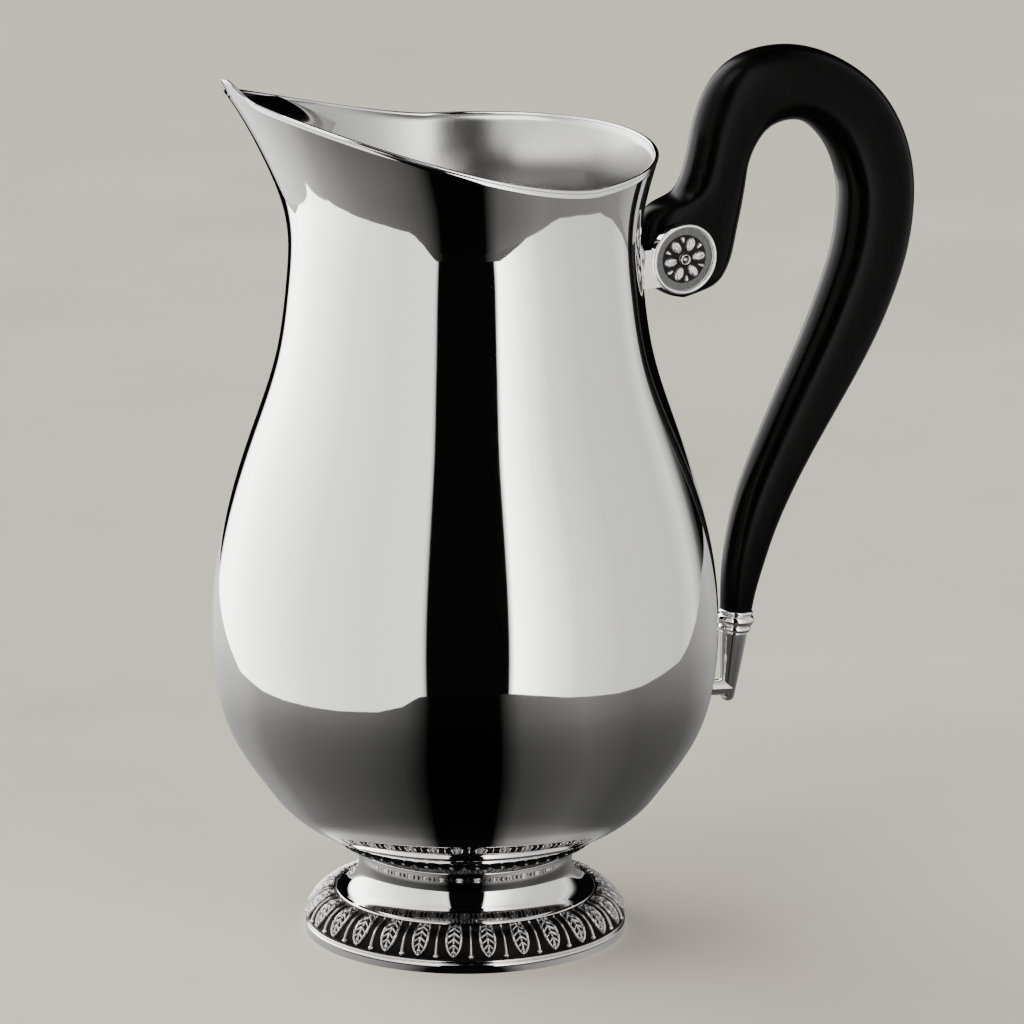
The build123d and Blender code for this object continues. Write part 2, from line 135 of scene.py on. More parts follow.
def silver_polish_group():
    """Hand-polished silver: broad faint clouds in tone, and very fine buffing lines in the roughness."""
    group = bpy.data.node_groups.new("silver_polish", "ShaderNodeTree")
    group.interface.new_socket("Tone", in_out="INPUT", socket_type="NodeSocketColor")
    group.interface.new_socket("Roughness", in_out="INPUT", socket_type="NodeSocketFloat")
    group.interface.new_socket("Tarnish", in_out="INPUT", socket_type="NodeSocketFloat")
    group.interface.new_socket("Color", in_out="OUTPUT", socket_type="NodeSocketColor")
    group.interface.new_socket("Roughness", in_out="OUTPUT", socket_type="NodeSocketFloat")
    n = group.nodes
    inputs, outputs = n.new("NodeGroupInput"), n.new("NodeGroupOutput")
    place = n.new("ShaderNodeTexCoord")
    cloud = n.new("ShaderNodeTexNoise")
    cloud.inputs["Scale"].default_value = 14.0
    cloud.inputs["Detail"].default_value = 4.0
    stretch = n.new("ShaderNodeMapping")
    stretch.inputs["Scale"].default_value = (900.0, 900.0, 60.0)
    buff = n.new("ShaderNodeTexNoise")
    buff.inputs["Scale"].default_value = 1.0
    buff.inputs["Detail"].default_value = 3.0
    darker = n.new("ShaderNodeMix")
    darker.data_type = "RGBA"
    darker.inputs["B"].default_value = (0.62, 0.57, 0.50, 1.0)
    amount = n.new("ShaderNodeMath")
    amount.operation = "MULTIPLY"
    spread = n.new("ShaderNodeMapRange")
    spread.inputs["From Min"].default_value = 0.35
    spread.inputs["From Max"].default_value = 0.75
    spread.inputs["To Min"].default_value = 0.0
    spread.inputs["To Max"].default_value = 0.02
    rough = n.new("ShaderNodeMath")
    rough.operation = "ADD"
    wire(group, [
        ((place, "Object"), (cloud, "Vector")),
        ((place, "Object"), (stretch, "Vector")),
        ((stretch, "Vector"), (buff, "Vector")),
        ((cloud, "Fac"), (amount, 0)),
        ((inputs, "Tarnish"), (amount, 1)),
        ((amount, "Value"), (darker, "Factor")),
        ((inputs, "Tone"), (darker, "A")),
        ((darker, "Result"), (outputs, "Color")),
        ((buff, "Fac"), (spread, "Value")),
        ((spread, "Result"), (rough, 0)),
        ((inputs, "Roughness"), (rough, 1)),
        ((rough, "Value"), (outputs, "Roughness")),
    ])
    return group


silver_polish = silver_polish_group()


def polished_silver(name, tone=(0.95, 0.94, 0.92, 1.0), roughness=0.02, tarnish=0.05, recess=None):
    """Silver with the polish group; where the recess attribute is 1 it is oxidised nearly black and
    matt."""
    material = bpy.data.materials.new(name)
    material.use_nodes = True
    tree = material.node_tree
    shader = tree.nodes["Principled BSDF"]
    shader.inputs["Metallic"].default_value = 1.0
    polish = tree.nodes.new("ShaderNodeGroup")
    polish.node_tree = silver_polish
    polish.inputs["Tone"].default_value = tone
    polish.inputs["Roughness"].default_value = roughness
    polish.inputs["Tarnish"].default_value = tarnish
    if recess is None:
        wire(tree, [
            ((polish, "Color"), (shader, "Base Color")),
            ((polish, "Roughness"), (shader, "Roughness"))])
        return material
    mask = tree.nodes.new("ShaderNodeAttribute")
    mask.attribute_name = "recess"
    black = tree.nodes.new("ShaderNodeMix")
    black.data_type = "RGBA"
    black.inputs["B"].default_value = recess
    dull = tree.nodes.new("ShaderNodeMapRange")
    dull.inputs["To Max"].default_value = 0.5
    wire(tree, [
        ((mask, "Fac"), (black, "Factor")),
        ((polish, "Color"), (black, "A")),
        ((black, "Result"), (shader, "Base Color")),
        ((mask, "Fac"), (dull, "Value")),
        ((polish, "Roughness"), (dull, "To Min")),
        ((dull, "Result"), (shader, "Roughness")),
    ])
    return material


mirror_silver = polished_silver("mirror_silver")

angle = np.linspace(0, 2 * np.pi, 320, endpoint=False)
_, outer_z = rim_line(angle, 0.0)
_, inner_z = rim_line(angle, body_wall)
rows = []
for r in (0.6, 18.0, 33.6, 34.7):
    rows.append(np.stack([r * np.cos(angle), r * np.sin(angle), 0 * angle + body_base_z], -1))
climb = np.linspace(0, 1, 150)
climb = 0.75 * climb + 0.25 * climb**2
for s in climb:
    z = body_base_z + 0.3 + (outer_z - body_base_z - 0.3) * s
    r = body_radius(angle, z)
    rows.append(np.stack([r * np.cos(angle), r * np.sin(angle), z], -1))
for s in np.linspace(1, 0, 90):
    z = 29.0 + (inner_z - 29.0) * s
    r = body_radius(angle, np.maximum(z - 1.1 * (1 - s) ** 3, 27.5)) - body_wall
    rows.append(np.stack([r * np.cos(angle), r * np.sin(angle), z], -1))
for r in (20.0, 0.6):
    rows.append(np.stack([r * np.cos(angle), r * np.sin(angle), 0 * angle + 28.7], -1))
body = lay_mesh("body", np.array(rows), caps=("first", "last"))
body.data.materials.append(mirror_silver)
satin_inside = polished_silver("satin_inside", tone=(0.60, 0.60, 0.585, 1.0), roughness=0.24, tarnish=0.10)
body.data.materials.append(satin_inside)
inside_from = 4 + len(climb) - 1
face_row = np.arange(len(body.data.polygons)) // len(angle)
body.data.polygons.foreach_set("material_index", (face_row >= inside_from).astype(np.int32))
body.data.polygons[-2].material_index = 0
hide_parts("body_shell")
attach(body, "root")

# ---------------------------------------------------------------------------
# Rim wire: a thin round wire soldered along the cut edge of the mouth, which
# stiffens it and gives the bright line round the opening.
rim_wire_r = 0.62


def tube_along(name, path, radius, sides, out):
    """Round tube carried along a closed path. The ring at each point is spanned by the outward direction,
    made square to the path, and the normal of both."""
    step = np.roll(path, -1, 0) - np.roll(path, 1, 0)
    step /= np.linalg.norm(step, axis=1)[:, None]
    side = out - step * np.sum(out * step, 1)[:, None]
    side /= np.linalg.norm(side, axis=1)[:, None]
    lift = np.cross(step, side)
    turn = np.linspace(0, 2 * np.pi, sides, endpoint=False)
    ring = (path[:, None] + radius * (np.cos(turn)[None, :, None] * side[:, None]
                                      + np.sin(turn)[None, :, None] * lift[:, None]))
    return lay_mesh(name, ring, along=True)


wire_angle = np.linspace(0, 2 * np.pi, 480, endpoint=False)
wire_r, wire_z = rim_line(wire_angle, body_wall / 2)
wire_path = np.stack([wire_r * np.cos(wire_angle), wire_r * np.sin(wire_angle), wire_z], -1)
wire_out = np.stack([np.cos(wire_angle), np.sin(wire_angle), 0 * wire_angle], -1)
rim = tube_along("rim_wire_bead", wire_path, rim_wire_r, 14, out=wire_out)
rim.data.materials.append(mirror_silver)
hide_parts("rim_wire")
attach(rim, "root")

# ---------------------------------------------------------------------------
# Ice guard: a bowed strip of sheet soldered across the inside of the spout. It
# leans back as it goes down, so water passes under it and ice stays behind.
guard_x, guard_z, guard_low_z = -60.5, 235.5, 216.0
guard_bow, guard_lean, guard_thick = 80.0, 1.50, 1.0
across = np.linspace(-1, 1, 81)
down = np.linspace(0, 1, 22)


def guard_sheet(offset):
    """Bowed sheet: X is a circle arc in Y shifted forwards with height. Its ends lie on the body's inner
    wall and its top follows the rim; both are found by halving."""
    a, d = np.meshgrid(across, down)
    top = np.full_like(a, 234.0)
    y = a * 26.0
    for _ in range(12):
        z = guard_low_z + (top - guard_low_z) * (1 - d)
        low, high = np.full_like(a, 5.0), np.full_like(a, 58.0)
        for _ in range(30):
            half = (low + high) / 2
            x = guard_x + guard_lean * (guard_z - z) + guard_bow - np.sqrt(guard_bow**2 - half**2) + offset
            inside = np.hypot(x, half) < body_radius(np.arctan2(half, x), z) - body_wall + 0.1
            low, high = np.where(inside, half, low), np.where(inside, high, half)
        y = a * low
        x = guard_x + guard_lean * (guard_z - z) + guard_bow - np.sqrt(guard_bow**2 - y**2) + offset
        top = top + 0.6 * (np.broadcast_to((rim_height(x, y) - 0.3)[0], top.shape) - top)
    return np.stack([x, y, z], -1)


front, back = guard_sheet(0.0), guard_sheet(guard_thick)
edge = (front[0] + back[0]) / 2 + np.array([0, 0, 0.35])
guard_silver = polished_silver("guard_silver", tone=(0.46, 0.46, 0.455, 1.0), roughness=0.05)
guard_grid = np.concatenate([front[::-1], edge[None], back], 0)
guard = lay_mesh("ice_guard_strip", guard_grid, around=False, along=True)
guard.data.materials.append(guard_silver)
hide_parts("ice_guard")
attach(guard, "root")

# ---------------------------------------------------------------------------
# Leaf collar: a narrow die-struck band of small upright leaves that hides the
# joint between body and foot. The sunk ground is oxidised black.
def turned(points, angles):
    """A profile of (radius, height) points turned about the Z axis at the given angles."""
    r, z = points[..., 0], points[..., 1]
    return np.stack([r * np.cos(angles), r * np.sin(angles), z], -1)


def leaf_relief(turns, along, count, width, ribs):
    """Height from 0 to 1 of a row of pointed leaves: a raised outline, widest below the middle and drawn to
    a point, holds a midrib and slanting veins on a sunk face. Between neighbours a thin dart ends in a
    bead. turns is the angle over a full turn, along runs from root to tip."""
    a = (turns * count) % 1.0 - 0.5
    t = np.clip((along - 0.07) / 0.87, 0, 1)
    half = width * (0.70 + 0.75 * t - 1.45 * t**3.2) * np.clip((1 - t) * 9, 0, 1) ** 0.5
    gap = half - np.abs(a)
    inside = np.clip(gap / 0.03, 0, 1) * (along > 0.07) * (along < 0.94)
    outline = np.exp(-((gap - 0.035) / 0.020) ** 2) * (along > 0.07) * (along < 0.95)
    midrib = np.exp(-(a / 0.020) ** 2) * inside * (t < 0.93)
    q = np.abs(a) / np.maximum(half, 1e-3)
    veins = np.clip(1.5 * np.cos(2 * np.pi * (t * ribs - q * 1.1)) - 0.5, 0, 1)
    veins = veins * inside * np.clip((gap - 0.06) / 0.03, 0, 1)
    face = 0.16 * inside
    leaf = np.maximum(np.maximum(face, outline * 0.95), np.maximum(midrib * 0.85, veins * 0.72))
    b = np.abs(np.abs(a) - 0.5)
    dart = np.exp(-(b / (0.012 + 0.016 * along)) ** 2) * (along > 0.08) * (along < 0.86) * 0.8
    bead = np.sqrt(np.clip(1 - (b / 0.075) ** 2 - ((along - 0.885) / 0.06) ** 2, 0, 1))
    return np.clip(np.maximum(leaf, np.maximum(dart, bead)), 0, 1)


def relief_band(name, outer_knots, inner_points, steps, columns, depth, sink, relief):
    """Turned ring whose outer profile carries a relief: each point moves along the profile's own normal by
    sink to depth. The recess attribute is 1 on the sunk ground and 0 on the high metal."""
    s = np.linspace(0, 1, steps)
    knot_at = np.linspace(0, 1, len(outer_knots))
    r = smooth_line(np.column_stack([knot_at, outer_knots[:, 0]]), s)
    z = smooth_line(np.column_stack([knot_at, outer_knots[:, 1]]), s)
    dr, dz = np.gradient(r), np.gradient(z)
    size = np.hypot(dr, dz)
    nr, nz = -dz / size, dr / size
    turn = np.linspace(0, 2 * np.pi, columns, endpoint=False)
    high = relief(turn[None, :] / (2 * np.pi), s[:, None])
    fade = np.clip(np.minimum(s, 1 - s) * 30, 0, 1)[:, None]
    lift = (sink + (depth - sink) * high) * fade
    outer = turned(np.stack([r[:, None] + nr[:, None] * lift, z[:, None] + nz[:, None] * lift], -1), turn)
    inner = turned(np.broadcast_to(inner_points[:, None, :], (len(inner_points), columns, 2)), turn)
    recess = np.concatenate([np.clip(1.45 - high * 2.1, 0, 1), np.zeros((len(inner_points), columns))])
    return lay_mesh(name, np.concatenate([outer, inner]), along=True, values={"recess": recess}, flip=True)


collar = relief_band(
    "leaf_collar",
    np.array([(35.3, 27.4), (35.2, 26.8), (33.2, 25.7), (30.6, 24.4), (30.1, 24.1)])[::-1],
    np.array([(34.6, 27.5), (22.0, 27.5), (22.0, 24.0), (29.8, 24.0)]),
    24, 1024, 0.35, -0.25,
    lambda turns, s: leaf_relief(turns, s, 32, 0.30, 3.0))
oxidised_leaves = polished_silver(
    "oxidised_leaves", tone=(0.92, 0.91, 0.89, 1.0), roughness=0.10, tarnish=0.2,
    recess=(0.012, 0.011, 0.010, 1.0))
collar.data.materials.append(oxidised_leaves)
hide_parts("foot_collar")
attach(collar, "root")

# ---------------------------------------------------------------------------
# Foot stem: a short waisted spinning, open underneath, that carries the body.
# It is mirror polished and ends in a small flat ring above the leaf border.
def turned_piece(name, profile, columns, material, replaced):
    """Closed profile of (radius, height) points turned about Z; corners are kept by doubling nearby
    points."""
    turn = np.linspace(0, 2 * np.pi, columns, endpoint=False)
    grid = turned(np.broadcast_to(profile[:, None, :], (len(profile), columns, 2)), turn)
    piece = lay_mesh(name, grid, along=True)
    piece.data.materials.append(material)
    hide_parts(*replaced)
    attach(piece, "root")
    return piece


def soft_run(knots, count):
    """Points of a smooth curve through (radius, height) knots, evenly spread."""
    at = np.linspace(0, 1, len(knots))
    s = np.linspace(0, 1, count)
    return np.column_stack([smooth_line(np.column_stack([at, knots[:, k]]), s) for k in (0, 1)])


stem_knots = np.array([(29.9, 23.4), (29.5, 22.0), (29.0, 19.6), (29.5, 16.6), (31.4, 13.4), (34.0, 11.7)])
stem_outer = soft_run(stem_knots, 48)
stem_lip = np.array([(22.0, 24.0), (29.3, 24.0), (29.8, 23.9), (30.0, 23.7)])
stem_ring = np.array([(34.1, 11.65), (35.0, 11.55), (35.25, 11.4), (35.25, 9.7), (35.1, 9.6)])
stem_inner = soft_run(np.array([(33.6, 10.3), (30.8, 12.2), (28.1, 15.8), (27.4, 20.4), (27.3, 22.3)]), 20)
stem_profile = np.concatenate([stem_lip, stem_outer, stem_ring, stem_inner, [(27.0, 22.4), (22.0, 22.4)]])
turned_piece("foot_stem_spinning", stem_profile[::-1], 240, mirror_silver, ["foot_stem"])

# ---------------------------------------------------------------------------
# Leaf border: the foot's spreading quarter-round ring, struck with pointed
# leaves, veins and beaded darts on a ground oxidised black.
border_steps = np.array([(35.3, 11.3), (37.6, 10.9), (40.0, 9.6), (41.9, 7.6), (43.0, 5.4), (43.35, 3.5)])
border = relief_band(
    "leaf_border", border_steps,
    np.array([(43.1, 3.42), (41.6, 3.42), (40.9, 6.2), (38.8, 8.4), (35.25, 9.6), (35.25, 11.2)]),
    72, 28 * 44, 0.55, -0.35,
    lambda turns, s: leaf_relief(turns, s, 28, 0.275, 6.5))
border.data.materials.append(oxidised_leaves)
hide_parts("foot_leaf_flange")
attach(border, "root")

# ---------------------------------------------------------------------------
# Base band: the plain upright edge of the foot that stands on the table, with
# a bright bead above it and a fine groove between bead and leaf border.
band_profile = np.array([
    (43.55, 0.0), (43.6, 0.05), (43.6, 1.2), (43.6, 2.2), (43.5, 2.45), (43.25, 2.58), (43.0, 2.6),
    (41.0, 2.6), (41.0, 2.5), (41.0, 0.1), (41.1, 0.0)])
turned_piece("foot_base_band_edge", band_profile, 360, mirror_silver, ["foot_base_band"])
half_turn = np.linspace(-np.pi / 2, np.pi / 2, 11)
bead_profile = np.concatenate([
    np.column_stack([42.9 + 0.42 * np.cos(half_turn), 3.0 + 0.4 * np.sin(half_turn)]),
    [(41.0, 3.4), (41.0, 2.6)]])
turned_piece("foot_bead_ring", bead_profile, 360, mirror_silver, ["foot_bead"])

# ---------------------------------------------------------------------------
# Handle: one carved and turned scroll of black wood, waxed to a soft gloss. Its
# rounded upper end sits between two silver cheeks, its lower end in a ferrule.
handle_stations = np.array([
    # outer edge X, Z; inner edge X, Z; half width
    (60.5, 170.9, 66.5, 169.6, 4.6),
    (55.6, 174.6, 74.0, 171.4, 6.6),
    (53.4, 180.2, 78.6, 174.6, 7.1),
    (53.0, 186.6, 81.0, 179.6, 7.2),
    (54.4, 192.6, 82.4, 185.6, 7.2),
    (58.6, 196.0, 83.8, 192.2, 7.2),
    (64.2, 197.9, 84.8, 198.4, 7.2),
    (68.0, 204.2, 85.6, 204.0, 7.3),
    (69.9, 212.0, 87.4, 208.6, 7.4),
    (72.2, 220.4, 90.4, 212.4, 7.4),
    (76.6, 228.4, 93.4, 214.2, 7.5),
    (83.4, 233.6, 96.4, 214.9, 7.6),
    (91.4, 235.6, 99.2, 215.0, 7.8),
    (99.4, 235.6, 102.2, 214.4, 7.9),
    (108.0, 233.6, 105.4, 212.8, 8.0),
    (117.2, 229.0, 108.6, 210.0, 8.0),
    (125.0, 222.8, 111.6, 206.2, 8.0),
    (131.4, 214.6, 114.0, 201.4, 8.0),
    (135.8, 204.6, 115.6, 195.8, 8.0),
    (137.6, 194.6, 116.0, 189.6, 8.0),
    (137.4, 184.4, 115.4, 183.0, 7.9),
    (135.6, 174.2, 113.8, 175.4, 7.8),
    (132.2, 164.2, 110.8, 167.0, 7.6),
    (127.6, 154.2, 107.0, 158.0, 7.4),
    (122.4, 145.0, 102.6, 148.8, 7.1),
    (116.6, 136.0, 98.0, 139.8, 6.9),
    (110.6, 127.0, 93.4, 130.6, 6.6),
    (104.8, 118.0, 89.0, 121.4, 6.3),
    (99.6, 109.0, 85.2, 112.4, 5.9),
    (95.2, 100.0, 82.4, 103.2, 5.5),
    (91.8, 91.0, 80.6, 93.6, 5.0),
    (89.2, 83.0, 79.9, 84.6, 4.5),
    (88.2, 78.8, 79.85, 78.0, 4.2)])
handle_turns = 72
handle_rows = 420


def scroll_surface(stations, rows_wanted, sides):
    """Rounded section carried along the scroll: the middle runs between paired edge points, one axis of
    each section joins them, the other is the half width, and the outline is a superellipse of power 2.5."""
    middle = (stations[:, :2] + stations[:, 2:4]) / 2
    at = np.concatenate([[0], np.cumsum(np.hypot(*np.diff(middle, axis=0).T) + 1.5)])
    s = np.linspace(0, at[-1], rows_wanted)
    ox, oz, ix, iz, half = [smooth_line(np.column_stack([at, stations[:, k]]), s)[:, None] for k in range(5)]
    turn = np.linspace(0, 2 * np.pi, sides, endpoint=False)[None, :]
    c, d = np.cos(turn), np.sin(turn)
    round_off = (np.abs(c) ** 2.5 + np.abs(d) ** 2.5) ** (-1 / 2.5)
    u, v = c * round_off, d * round_off
    x = (ox + ix) / 2 + u * (ox - ix) / 2
    z = (oz + iz) / 2 + u * (oz - iz) / 2
    return np.stack([x, half * v, z], -1)


handle_grid = scroll_surface(handle_stations, handle_rows, handle_turns)
handle = lay_mesh("scroll_handle", handle_grid, caps=("first", "last"))


def black_wood():
    """Ebonised wood: long faint pores and streaks along the limb, a soft waxed gloss and slightly duller
    random patches."""
    material = bpy.data.materials.new("ebonised_wood")
    material.use_nodes = True
    tree = material.node_tree
    n = tree.nodes
    shader = n["Principled BSDF"]
    shader.inputs["Specular IOR Level"].default_value = 0.07
    place = n.new("ShaderNodeTexCoord")
    stretch = n.new("ShaderNodeMapping")
    stretch.inputs["Scale"].default_value = (420.0, 700.0, 50.0)
    grain = n.new("ShaderNodeTexNoise")
    grain.inputs["Scale"].default_value = 1.0
    grain.inputs["Detail"].default_value = 5.0
    tone = n.new("ShaderNodeValToRGB")
    tone.color_ramp.elements[0].position = 0.35
    tone.color_ramp.elements[0].color = (0.0008, 0.0008, 0.0008, 1.0)
    tone.color_ramp.elements[1].position = 0.75
    tone.color_ramp.elements[1].color = (0.0030, 0.0027, 0.0025, 1.0)
    patch = n.new("ShaderNodeTexNoise")
    patch.inputs["Scale"].default_value = 30.0
    rough = n.new("ShaderNodeMapRange")
    rough.inputs["From Min"].default_value = 0.3
    rough.inputs["From Max"].default_value = 0.7
    rough.inputs["To Min"].default_value = 0.20
    rough.inputs["To Max"].default_value = 0.30
    bump = n.new("ShaderNodeBump")
    bump.inputs["Strength"].default_value = 0.12
    bump.inputs["Distance"].default_value = 0.0001
    wire(tree, [
        ((place, "Object"), (stretch, "Vector")),
        ((stretch, "Vector"), (grain, "Vector")),
        ((place, "Object"), (patch, "Vector")),
        ((grain, "Fac"), (tone, "Fac")),
        ((tone, "Color"), (shader, "Base Color")),
        ((patch, "Fac"), (rough, "Value")),
        ((rough, "Result"), (shader, "Roughness")),
        ((grain, "Fac"), (bump, "Height")),
        ((bump, "Normal"), (shader, "Normal")),
    ])
    return material


handle.data.materials.append(black_wood())
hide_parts("handle")
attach(handle, "root")

# ---------------------------------------------------------------------------
# Neck plate: a cast palmette soldered to the back of the neck, curved to fit it,
# from which the arms of the upper mount stand out.
plate_z, plate_half_w, plate_half_h, plate_thick = 185.6, 14.0, 12.5, 2.4
ring_turn = np.linspace(0, 2 * np.pi, 260, endpoint=False)
reach = np.concatenate([np.linspace(0.02, 0.94, 52), [0.97, 0.99, 1.0, 1.0]])
rho, theta = np.meshgrid(reach, ring_turn, indexing="ij")
outline = 1.0 / (np.abs(np.cos(theta)) ** 2.6 + np.abs(np.sin(theta)) ** 2.6) ** (1 / 2.6)
outline = outline * (1 + 0.035 * np.cos(14 * theta))
plate_y = plate_half_w * rho * outline * np.cos(theta)
plate_v = plate_half_h * rho * outline * np.sin(theta)
fan = np.arctan2(plate_y, plate_v + 11.0)
fan_reach = np.hypot(plate_y, plate_v + 11.0) / 21.0
lobes = np.abs(np.cos(fan * 7.0)) ** 0.7 * np.clip(fan_reach * 3, 0, 1) * np.clip((1.02 - rho) * 9, 0, 1)
centre_rib = np.exp(-(plate_y / 1.1) ** 2) * 0.5
plate_high = np.clip(0.35 + 0.65 * lobes + centre_rib * (rho < 0.9), 0, 1)
plate_high[-1] = -1.4
plate_high[-2] = 0.25
plate_high[-3] = 0.34
plate_z_at = plate_z + plate_v
plate_r = smooth_line(body_knots, plate_z_at) + plate_thick * np.clip(plate_high, -0.15, 1)
plate_grid = np.stack([np.sqrt(plate_r**2 - plate_y**2), plate_y, plate_z_at], -1)
plate = lay_mesh("neck_palmette", plate_grid, caps=("first",),
                 values={"recess": np.clip(1.2 - plate_high * 2.0, 0, 1) * (rho < 0.96)})
plate.data.materials.append(oxidised_leaves)
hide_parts("neck_plate")
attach(plate, "root")

# ---------------------------------------------------------------------------
# Upper mount: two cast cheeks with round ends stand off the neck plate and hold
# the handle between them on a cross pin. Each end carries a roundel.
pivot_x, pivot_z, roundel_r, cheek_out_y = 62.4, 182.0, 9.7, 8.8


def cast_silver():
    """Silver that is bright outside the roundel and a fine grey matt ground inside its rim, told by
    distance from the pin's axis."""
    material = polished_silver("cast_cheek_silver", roughness=0.06, tarnish=0.15)
    tree = material.node_tree
    n = tree.nodes
    shader = n["Principled BSDF"]
    polish = next(k for k in n if k.type == "GROUP")
    place = n.new("ShaderNodeTexCoord")
    centre = n.new("ShaderNodeMapping")
    centre.inputs["Location"].default_value = (-pivot_x / 1000, 0.0, -pivot_z / 1000)
    flat = n.new("ShaderNodeVectorMath")
    flat.operation = "MULTIPLY"
    flat.inputs[1].default_value = (1.0, 0.0, 1.0)
    far = n.new("ShaderNodeVectorMath")
    far.operation = "LENGTH"
    mask = n.new("ShaderNodeMapRange")
    mask.inputs["From Min"].default_value = (roundel_r - 0.9) / 1000
    mask.inputs["From Max"].default_value = (roundel_r - 1.1) / 1000
    grit = n.new("ShaderNodeTexNoise")
    grit.inputs["Scale"].default_value = 2200.0
    ground = n.new("ShaderNodeValToRGB")
    ground.color_ramp.elements[0].color = (0.05, 0.05, 0.05, 1.0)
    ground.color_ramp.elements[1].color = (0.20, 0.20, 0.20, 1.0)
    blend = n.new("ShaderNodeMix")
    blend.data_type = "RGBA"
    rough = n.new("ShaderNodeMapRange")
    rough.inputs["To Max"].default_value = 0.45
    wire(tree, [
        ((place, "Object"), (centre, "Vector")),
        ((centre, "Vector"), (flat, 0)),
        ((flat, "Vector"), (far, 0)),
        ((far, "Value"), (mask, "Value")),
        ((place, "Object"), (grit, "Vector")),
        ((grit, "Fac"), (ground, "Fac")),
        ((mask, "Result"), (blend, "Factor")),
        ((polish, "Color"), (blend, "A")),
        ((ground, "Color"), (blend, "B")),
        ((blend, "Result"), (shader, "Base Color")),
        ((mask, "Result"), (rough, "Value")),
        ((polish, "Roughness"), (rough, "To Min")),
        ((rough, "Result"), (shader, "Roughness")),
    ])
    return material


cheek_silver = cast_silver()
for side_name in ("near", "far"):
    cheek = nodes["cheek_" + side_name]
    cheek.data.materials.clear()
    cheek.data.materials.append(cheek_silver)

# ---------------------------------------------------------------------------
# Roundels: a raised rim round each cheek's end and a cast flower inside it, with
# six large cleft petals, six small wedges between them and a ringed boss.
def facing_side(radius, turn, height, side):
    """Points of a disc face round the pin's axis: radius and turn in the XZ plane, height outwards along Y
    on that side."""
    radius, turn, height = np.broadcast_arrays(radius, turn, height)
    x = pivot_x + radius * np.cos(turn)
    z = pivot_z + radius * np.sin(turn)
    return np.stack([x, side * (cheek_out_y + height), z], -1)


def flower_height(rho, turn):
    """Height from 0 to 1: cleft oval petals every 60 degrees, small wedges between them, a ring and dot at
    the centre. A petal is a dome over an egg shape, and its cleft is a bell-shaped groove down the
    middle."""
    step = np.pi / 3
    a = (turn - np.radians(6) + step / 2) % step - step / 2
    along = (rho * np.cos(a) - 0.655) / 0.305
    across = rho * np.sin(a) / (0.200 + 0.028 * along)
    petal = np.sqrt(np.clip(1 - (along**2 + across**2) ** 1.4, 0, 1))
    cleft = np.exp(-(rho * np.sin(a) / 0.034) ** 2) * np.clip((0.86 - rho) * 8, 0, 1)
    petal = petal * (1 - 0.6 * cleft)
    b = (turn - np.radians(6)) % step - step / 2
    out = (rho * np.cos(b) - 0.83) / 0.145
    beside = rho * np.sin(b) / (0.070 + 0.042 * out)
    wedge = np.sqrt(np.clip(1 - (out**4 + beside**2), 0, 1)) * 0.7
    boss = np.exp(-((rho - 0.195) / 0.045) ** 2) * 0.95 + np.sqrt(np.clip(1 - (rho / 0.085) ** 2, 0, 1)) * 0.9
    return np.clip(np.maximum(np.maximum(petal, wedge), boss), 0, 1)


flower_r, flower_h = 6.5, 1.25
flower_reach = np.concatenate([np.linspace(0.01, 1.0, 76), [1.02, 1.02]])
flower_turns = np.linspace(0, 2 * np.pi, 300, endpoint=False)
flower_rho, flower_turn = np.meshgrid(flower_reach, flower_turns, indexing="ij")
flower_high = flower_height(flower_rho, flower_turn)
flower_level = 0.06 + (flower_h - 0.06) * flower_high
flower_level[-1] = 0.0
half_round = np.linspace(0, np.pi, 15)
rim_r = np.concatenate([roundel_r - 0.5 + 0.5 * np.cos(half_round), [roundel_r - 1.0, roundel_r]])
rim_h = np.concatenate([0.55 + 0.45 * np.sin(half_round), [0.0, 0.0]])
rim_turn = np.linspace(0, 2 * np.pi, 200, endpoint=False)
flower_silver = polished_silver("flower_silver", tone=(0.90, 0.89, 0.87, 1.0), roughness=0.14, tarnish=0.2,
                                recess=(0.020, 0.019, 0.018, 1.0))
flower_recess = np.clip(1.15 - flower_high * 2.4, 0, 1)
for side, side_name in ((-1, "near"), (1, "far")):
    flower_grid = facing_side(flower_r * flower_rho, flower_turn, flower_level, side)
    flower = lay_mesh(
        "flower_" + side_name, flower_grid, caps=("first",), values={"recess": flower_recess}, flip=side > 0)
    flower.data.materials.append(flower_silver)
    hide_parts("rosette_" + side_name)
    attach(flower, "root")
    rim_grid = facing_side(rim_r[:, None], rim_turn[None, :], rim_h[:, None], side)
    rim_piece = lay_mesh("roundel_rim_" + side_name, rim_grid, along=True, flip=side > 0)
    rim_piece.data.materials.append(mirror_silver)
    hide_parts("bezel_" + side_name)
    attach(rim_piece, "root")

# ---------------------------------------------------------------------------
# Cross pin: a plain steel-bright silver pin through cheeks and handle, hidden
# under the roundels once they are soldered on.
pin_silver = polished_silver("pin_silver", roughness=0.12, tarnish=0.1)
nodes["cross_pin"].data.materials.clear()
nodes["cross_pin"].data.materials.append(pin_silver)

# ---------------------------------------------------------------------------
# Ferrule and socket: three turned rings and a tapered cup of mirror silver close
# the lower end of the handle, all on one slightly leaning axis.
ferrule_top = np.array([84.0, 0.0, 78.4])
ferrule_lean = np.radians(6.0)
ferrule_down = np.array([-np.sin(ferrule_lean), 0.0, -np.cos(ferrule_lean)])
ferrule_side = np.array([np.cos(ferrule_lean), 0.0, -np.sin(ferrule_lean)])


def turned_on_axis(name, profile, columns, start, down, side, closed=True, caps=()):
    """Profile of (radius, distance) points turned about a leaning axis."""
    turn = np.linspace(0, 2 * np.pi, columns, endpoint=False)[None, :, None]
    ring = side * np.cos(turn) + np.cross(down, side) * np.sin(turn)
    grid = start + profile[:, None, 1:] * down + profile[:, None, :1] * ring
    return lay_mesh(name, grid, along=closed, caps=caps)


